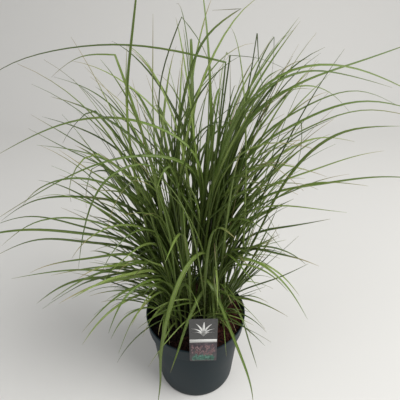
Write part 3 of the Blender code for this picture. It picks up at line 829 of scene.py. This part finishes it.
def turned(name, profile, steps, material):
    """A solid of revolution about Z from (radius, height) points, from the axis back to it."""
    mesh = bpy.data.meshes.new(name)
    points = [(radius, 0, height) for radius, height in profile]
    mesh.from_pydata(points, [(i, i + 1) for i in range(len(points) - 1)], [])
    obj = bpy.data.objects.new(name, mesh)
    bpy.context.scene.collection.objects.link(obj)
    screw = obj.modifiers.new("turn", "SCREW")
    screw.steps = steps
    screw.render_steps = steps
    screw.use_merge_vertices = True
    screw.merge_threshold = 1e-5
    screw.use_smooth_shade = True
    apply_modifiers(obj, material)
    return obj


def apply_modifiers(obj, material):
    """Makes the shape that the modifiers give the object's own mesh, with the material."""
    bpy.context.view_layer.update()
    graph = bpy.context.evaluated_depsgraph_get()
    mesh = bpy.data.meshes.new_from_object(obj.evaluated_get(graph))
    mesh.materials.clear()
    mesh.materials.append(material)
    obj.modifiers.clear()
    obj.data = mesh


def arc(middle, radius, start, end, steps):
    """(radius, height) points round part of a circle, its angles in degrees."""
    angles = [math.radians(start + (end - start) * i / steps) for i in range(steps + 1)]
    return [(middle[0] + radius * math.cos(a), middle[1] + radius * math.sin(a)) for a in angles]


def wall_radius(height):
    share = height / (POT_HEIGHT - COLLAR_HEIGHT)
    return BASE_RADIUS + share * (COLLAR_RADIUS - COLLAR_STEP - BASE_RADIUS)


def add_pot(material):
    """The moulding: from its floor up inside, over the rim, down outside and under its foot."""
    foot = POT_HEIGHT - COLLAR_HEIGHT
    lip = WALL * 0.75
    inner_floor = wall_radius(FLOOR) - WALL - INNER_ROUND
    profile = [(0, FLOOR), (inner_floor, FLOOR)]
    profile += arc((inner_floor, FLOOR + INNER_ROUND), INNER_ROUND, -90, 0, 6)
    profile += [(wall_radius(foot) - WALL, foot - COLLAR_STEP), (COLLAR_RADIUS - WALL, foot)]
    profile += [(RIM_RADIUS - 2 * lip, POT_HEIGHT - lip)]
    profile += arc((RIM_RADIUS - lip, POT_HEIGHT - lip), lip, 180, 0, 10)
    profile += [(RIM_RADIUS - RIM_DRAFT, POT_HEIGHT - RIM_DEPTH), (COLLAR_RADIUS, foot + COLLAR_ROUND)]
    profile += arc((COLLAR_RADIUS - COLLAR_ROUND, foot + COLLAR_ROUND), COLLAR_ROUND, 0, -80, 5)
    profile += [(wall_radius(foot), foot - COLLAR_STEP), (wall_radius(WALL_FOOT), WALL_FOOT)]
    profile += arc((BASE_RADIUS - BASE_ROUND_INSET, BASE_ROUND), BASE_ROUND, 0, -90, 8)
    profile += [(BASE_RADIUS - FOOT_WIDTH, 0), (BASE_RADIUS - HOLLOW_INSET, BASE_HOLLOW)]
    profile += [(GATE_RADII[0], BASE_HOLLOW), (GATE_RADII[1], GATE_HEIGHT), (0, GATE_HEIGHT)]
    pot = turned("nursery_pot", profile, 128, material)
    cutters = []
    for number in range(DRAIN_HOLES):
        angle = math.tau * number / DRAIN_HOLES
        spot = (DRAIN_CIRCLE * math.cos(angle), DRAIN_CIRCLE * math.sin(angle), FLOOR / 2)
        bpy.ops.mesh.primitive_cylinder_add(
            vertices=32, radius=DRAIN_RADIUS, depth=4 * FLOOR, location=spot
        )
        hole = bpy.context.object
        cutters.append(hole)
        cut = pot.modifiers.new("drain hole", "BOOLEAN")
        cut.operation = "DIFFERENCE"
        cut.object = hole
    apply_modifiers(pot, material)
    pot.data.set_sharp_from_angle(angle=SHARP_ANGLE)
    for hole in cutters:
        bpy.data.objects.remove(hole)
    settle(pot, "pot", "pot")


def circle(radius, count):
    """Evenly spaced (x, y) points round the axis."""
    angles = [math.tau * i / count for i in range(count)]
    return [(radius * math.cos(angle), radius * math.sin(angle)) for angle in angles]


def add_compost(material):
    """The root ball's rough upper side and its plain flanks, with crumbs lying on it."""
    build = Build()
    segments, rings = 96, 30
    top_radius = COLLAR_RADIUS - WALL - POT_GAP
    vertices = [(0, 0, SOIL_TOP)]
    for ring in range(1, rings + 1):
        for x, y in circle(top_radius * ring / rings, segments):
            rough = noise.noise(Vector((x, y, 0)) * 90) + 0.6 * noise.noise(Vector((x, y, 1)) * 260)
            vertices.append((x, y, SOIL_TOP + SOIL_ROUGHNESS * rough))
    for level, height in ((FLANK_HEIGHT, FLANK_HEIGHT), (FLOOR, FLOOR + POT_GAP)):
        vertices += [(x, y, height) for x, y in circle(wall_radius(level) - WALL - POT_GAP, segments)]
    faces = [(0, 1 + segment, 1 + (segment + 1) % segments) for segment in range(segments)]
    for ring in range(rings + 1):
        above = 1 + ring * segments
        below = above + segments
        for segment in range(segments):
            after = (segment + 1) % segments
            faces.append((above + segment, below + segment, below + after, above + after))
    last = 1 + (rings + 1) * segments
    faces.append(tuple(last + segment for segment in range(segments - 1, -1, -1)))
    build.add(vertices, faces)
    rng = random.Random(11)
    for _crumb in range(CRUMBS):
        radius = CRUMB_REACH * math.sqrt(rng.random())
        azimuth = rng.uniform(0, 360)
        height = SOIL_TOP + rng.uniform(0, 0.0025)
        add_chip(build, rng, radius, azimuth, height, CRUMB_SIZE, 0.2)
    settle(build.object("compost", material), "soil", "root_ball")


CHIP_CORNERS = [(x, y, z) for x in (-1, 1) for y in (-1, 1) for z in (-1, 1)]
CHIP_FACES = [(0, 1, 3, 2), (4, 6, 7, 5), (0, 4, 5, 1), (2, 3, 7, 6), (0, 2, 6, 4), (1, 5, 7, 3)]


def add_chip(build, rng, radius, azimuth, height, size, tone):
    """One irregular six-sided chip, lying more or less flat."""
    half = [size * rng.uniform(0.6, 1.5), size * rng.uniform(0.4, 0.9), size * rng.uniform(0.25, 0.6)]
    corners = np.array(
        [[c * h * rng.uniform(0.55, 1.1) for c, h in zip(corner, half)] for corner in CHIP_CORNERS]
    )
    spin = rotation("Z", rng.uniform(0, math.tau))
    tip = rotation("X", rng.gauss(0, 0.35))
    roll = rotation("Y", rng.gauss(0, 0.35))
    outward, _sideways = compass(azimuth)
    middle = outward * radius + np.array([0, 0, height])
    build.add(corners @ (spin @ tip @ roll).T + middle, CHIP_FACES, None, (tone, 0, 0))


def add_bark(material):
    """Loose chips in a ring round the crown, with painted shade: lightest and reddest towards the lit +X
    side, near black towards -X.
    """
    low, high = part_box("bark_mulch")
    outer = high.x - 0.001
    build = Build()
    rng = random.Random(7)
    for _chip in range(CHIPS):
        radius = math.sqrt(rng.uniform(CHIPS_INNER**2, outer**2))
        azimuth = rng.uniform(0, 360)
        height = rng.uniform(low.z, high.z - 0.002)
        # painted light and shade: the chip's tone rises towards the lit +X side and falls to near black
        # towards -X
        painted_side_shade = BARK_PAINTED_SIDE_SHADE * math.cos(math.radians(azimuth))
        tone_and_painted_shade = BARK_RED + painted_side_shade + rng.uniform(*BARK_RED_SPREAD)
        add_chip(build, rng, radius, azimuth, height, rng.choice(CHIP_SIZES), clamp(tone_and_painted_shade, 0, 1))
    piece = build.object("bark_chips", material)
    piece.data.shade_flat()
    settle(piece, "bark", "bark_mulch")


# ---------------------------------------------------------------- label


LABEL_PLACE = math.radians(8.5)
LABEL_TURN = math.radians(1.5)
LABEL_SHIFT = RIM_RADIUS * math.sin(LABEL_PLACE - LABEL_TURN)
LABEL_WIDTH = 0.057
LABEL_BOTTOM = 0.1805
LABEL_TOP = 0.3155
LABEL_THICKNESS = 0.0008
LABEL_CORNER = 0.003
LABEL_FACE = RIM_RADIUS + 0.0006
TONGUE_WIDTH = 0.020
TONGUE_LENGTH = 0.008
TONGUE_CLEARANCE = 0.0018
LINE_BOTTOM = 0.2435
LINE_TOP = 0.2530
PRINT_STEP = 0.00006
PRINT_EDGE = LABEL_WIDTH / 2 - 0.0006
STROKE_EDGE = LABEL_WIDTH / 2 - 0.0008
TUFT_FOOT = LINE_TOP + 0.010
# the mark's strokes: how far each leans in degrees, and how long it is
TUFT_STROKES = (
    (-62, 0.026), (-44, 0.034), (-20, 0.041), (2, 0.044), (24, 0.041), (46, 0.033), (64, 0.025),
)
PLUMES = 60
PICTURE_LEAVES = 75


def label_place(across, height, outwards):
    """A point on the label from its distance to the right of its middle line and outwards."""
    outward = (math.sin(LABEL_TURN), -math.cos(LABEL_TURN))
    right = (math.cos(LABEL_TURN), math.sin(LABEL_TURN))
    distance, shift = LABEL_FACE + outwards, across + LABEL_SHIFT
    x = outward[0] * distance + right[0] * shift
    y = outward[1] * distance + right[1] * shift
    return (x, y, height)


def rectangle(half_width, bottom, top):
    return [(half_width, bottom), (half_width, top), (-half_width, top), (-half_width, bottom)]


def rounded_rectangle(width, bottom, top, corner, steps=6):
    """The card's outline, counter-clockwise from its upper right corner."""
    points = []
    middles = (
        (width / 2 - corner, top - corner),
        (corner - width / 2, top - corner),
        (corner - width / 2, bottom + corner),
        (width / 2 - corner, bottom + corner),
    )
    for quarter, (x, z) in enumerate(middles):
        for step in range(steps):
            angle = math.pi / 2 * (quarter + step / (steps - 1))
            points.append((x + corner * math.cos(angle), z + corner * math.sin(angle)))
    return points


def add_plate(build, outline, back, front):
    """A flat closed outline, given counter-clockwise from outside, between two distances."""
    count = len(outline)
    vertices = [label_place(x, z, depth) for depth in (front, back) for x, z in outline]
    faces = [tuple(range(count)), tuple(range(2 * count - 1, count - 1, -1))]
    for i in range(count):
        j = (i + 1) % count
        faces.append((i, i + count, j + count, j))
    build.add(vertices, faces)


def add_print(build, outline, layer=0):
    """A printed shape as a thin plate on the card, or on the print below it."""
    middle = LABEL_THICKNESS + layer * PRINT_STEP
    add_plate(build, outline, middle - PRINT_STEP, middle + PRINT_STEP)


def add_stroke(build, x, foot, lean, length, width, layer=0):
    """A pointed printed stroke that curves towards its lean, clipped to the card's edges."""
    left, right = [], []
    for step in range(7):
        share = step / 6
        bend = math.radians(lean) * share
        middle_x = x + length * share * math.sin(bend)
        middle_z = foot + length * share * math.cos(bend)
        half = width / 2 * math.sin(math.pi * (0.12 + 0.86 * share)) ** 0.8
        left.append((clamp(middle_x - half, -STROKE_EDGE, STROKE_EDGE), middle_z))
        right.append((clamp(middle_x + half, 0.0001 - STROKE_EDGE, STROKE_EDGE + 0.0001), middle_z))
    add_print(build, right + left[::-1], layer)


def add_label(card, white, picture, bloom, blade):
    """The card with its hook, then its print as thin layers: a line, a tuft mark and a picture."""
    build = Build()
    outline = rounded_rectangle(LABEL_WIDTH, LABEL_BOTTOM, LABEL_TOP, LABEL_CORNER)
    add_plate(build, outline, 0, LABEL_THICKNESS)
    half = TONGUE_WIDTH / 2
    wall_at_tongue = math.sqrt((RIM_RADIUS - WALL) ** 2 - (LABEL_SHIFT + half) ** 2)
    inside = wall_at_tongue - TONGUE_CLEARANCE - LABEL_FACE
    over = POT_HEIGHT + 0.0003
    strap = rectangle(half, over, over + LABEL_THICKNESS)
    add_plate(build, strap, inside - LABEL_THICKNESS, 0.0002)
    drop = rectangle(half, over - TONGUE_LENGTH, over + 0.0006)
    add_plate(build, drop, inside - LABEL_THICKNESS, inside)
    plate = build.object("label_card", card)
    plate.data.set_sharp_from_angle(angle=SHARP_ANGLE)
    settle(plate, "label", "label")

    build = Build()
    add_print(build, rectangle(PRINT_EDGE, LINE_BOTTOM, LINE_TOP))
    for lean, length in TUFT_STROKES:
        add_stroke(build, 0.0, TUFT_FOOT, lean, length, 0.0052)
    settle(build.object("label_white_print", white), "label")

    build = Build()
    low = LABEL_BOTTOM + 0.0008
    add_print(build, rectangle(PRINT_EDGE, low, LINE_BOTTOM - 0.002))
    settle(build.object("label_picture", picture), "label")

    rng = random.Random(3)
    build = Build()
    reach = PRINT_EDGE - 0.003
    for _plume in range(PLUMES):
        x, z = rng.uniform(-reach, reach), rng.uniform(0.198, 0.228)
        add_stroke(build, x, z, rng.uniform(-25, 25), rng.uniform(0.006, 0.010), 0.0030, 1)
    settle(build.object("label_flower_heads", bloom), "label")
    build = Build()
    reach = PRINT_EDGE - 0.004
    for _leaf in range(PICTURE_LEAVES):
        x, z = rng.uniform(-reach, reach), rng.uniform(low + 0.0005, 0.186)
        add_stroke(build, x, z, rng.uniform(-28, 28), rng.uniform(0.010, 0.022), 0.0016, 1)
    settle(build.object("label_leaves", blade), "label")


# ---------------------------------------------------------------- stage


def add_stage():
    """A pale floor that sweeps up into a pale backdrop, as one sheet."""
    half_width, front, back, sweep, top = 6.0, -3.0, 1.4, 0.7, 4.5
    section = [(front, 0), *arc((back, sweep), sweep, -90, 0, 15), (back + sweep, top)]
    vertices = [(side, y, z) for y, z in section for side in (-half_width, half_width)]
    faces = [(2 * i, 2 * i + 1, 2 * i + 3, 2 * i + 2) for i in range(len(section) - 1)]
    mesh = bpy.data.meshes.new("studio_floor")
    mesh.from_pydata(vertices, [], faces)
    mesh.shade_smooth()
    mesh.materials.append(plain_material("studio_paper", (0.64, 0.635, 0.62), 0.9))
    floor = bpy.data.objects.new("studio_floor", mesh)
    bpy.context.scene.collection.objects.link(floor)


def add_light(name, place, target, size, power, colour=(1, 1, 1)):
    """A round soft light at place that faces target."""
    data = bpy.data.lights.new(name, "AREA")
    data.shape = "DISK"
    data.size = size
    data.energy = power
    data.color = colour
    lamp = bpy.data.objects.new(name, data)
    lamp.location = place
    lamp.rotation_euler = (Vector(target) - Vector(place)).to_track_quat("-Z", "Y").to_euler()
    bpy.context.scene.collection.objects.link(lamp)


def add_lights():
    """A warm key light from the upper right, a weak fill from the left and a dim pale sky."""
    middle = (0, 0, 0.3)
    add_light("key", (1.5, -0.6, 2.6), middle, size=2.0, power=92, colour=(1.0, 0.99, 0.97))
    add_light("fill", (-1.8, -1.0, 1.8), middle, size=2.2, power=20)
    world = bpy.data.worlds.new("studio")
    world.use_nodes = True
    background = world.node_tree.nodes["Background"]
    background.inputs["Color"].default_value = (0.99, 0.995, 1.0, 1)
    background.inputs["Strength"].default_value = 0.30
    bpy.context.scene.world = world
    bpy.context.scene.view_settings.view_transform = "Standard"


def add_camera():
    data = bpy.data.cameras.new("camera")
    data.lens = CAMERA_LENS
    data.sensor_width = CAMERA_SENSOR
    camera = bpy.data.objects.new("camera", data)
    camera.location = CAMERA_PLACE
    camera.rotation_euler = (CAMERA_TILT, 0, 0)
    bpy.context.scene.collection.objects.link(camera)
    bpy.context.scene.camera = camera


def main():
    leaf = leaf_material()
    for name, (azimuth, side_step, root, width, points) in SHOOTS.items():
        add_shoot(name, azimuth, side_step, root, width, points, leaf)
    add_pot(pot_material())
    add_compost(compost_material())
    add_bark(bark_material())
    add_label(
        printed_material("label_grey", (0.060, 0.060, 0.060), (0.080, 0.079, 0.078)),
        printed_material("label_white", (0.780, 0.780, 0.760), (0.720, 0.720, 0.700)),
        printed_material("label_mauve", (0.050, 0.042, 0.050), (0.098, 0.074, 0.082), 160.0),
        printed_material("label_rose", (0.290, 0.180, 0.185), (0.180, 0.105, 0.115), 400.0),
        printed_material("label_teal", (0.170, 0.400, 0.310), (0.070, 0.190, 0.140), 400.0),
    )
    add_stage()
    add_lights()
    add_camera()


main()
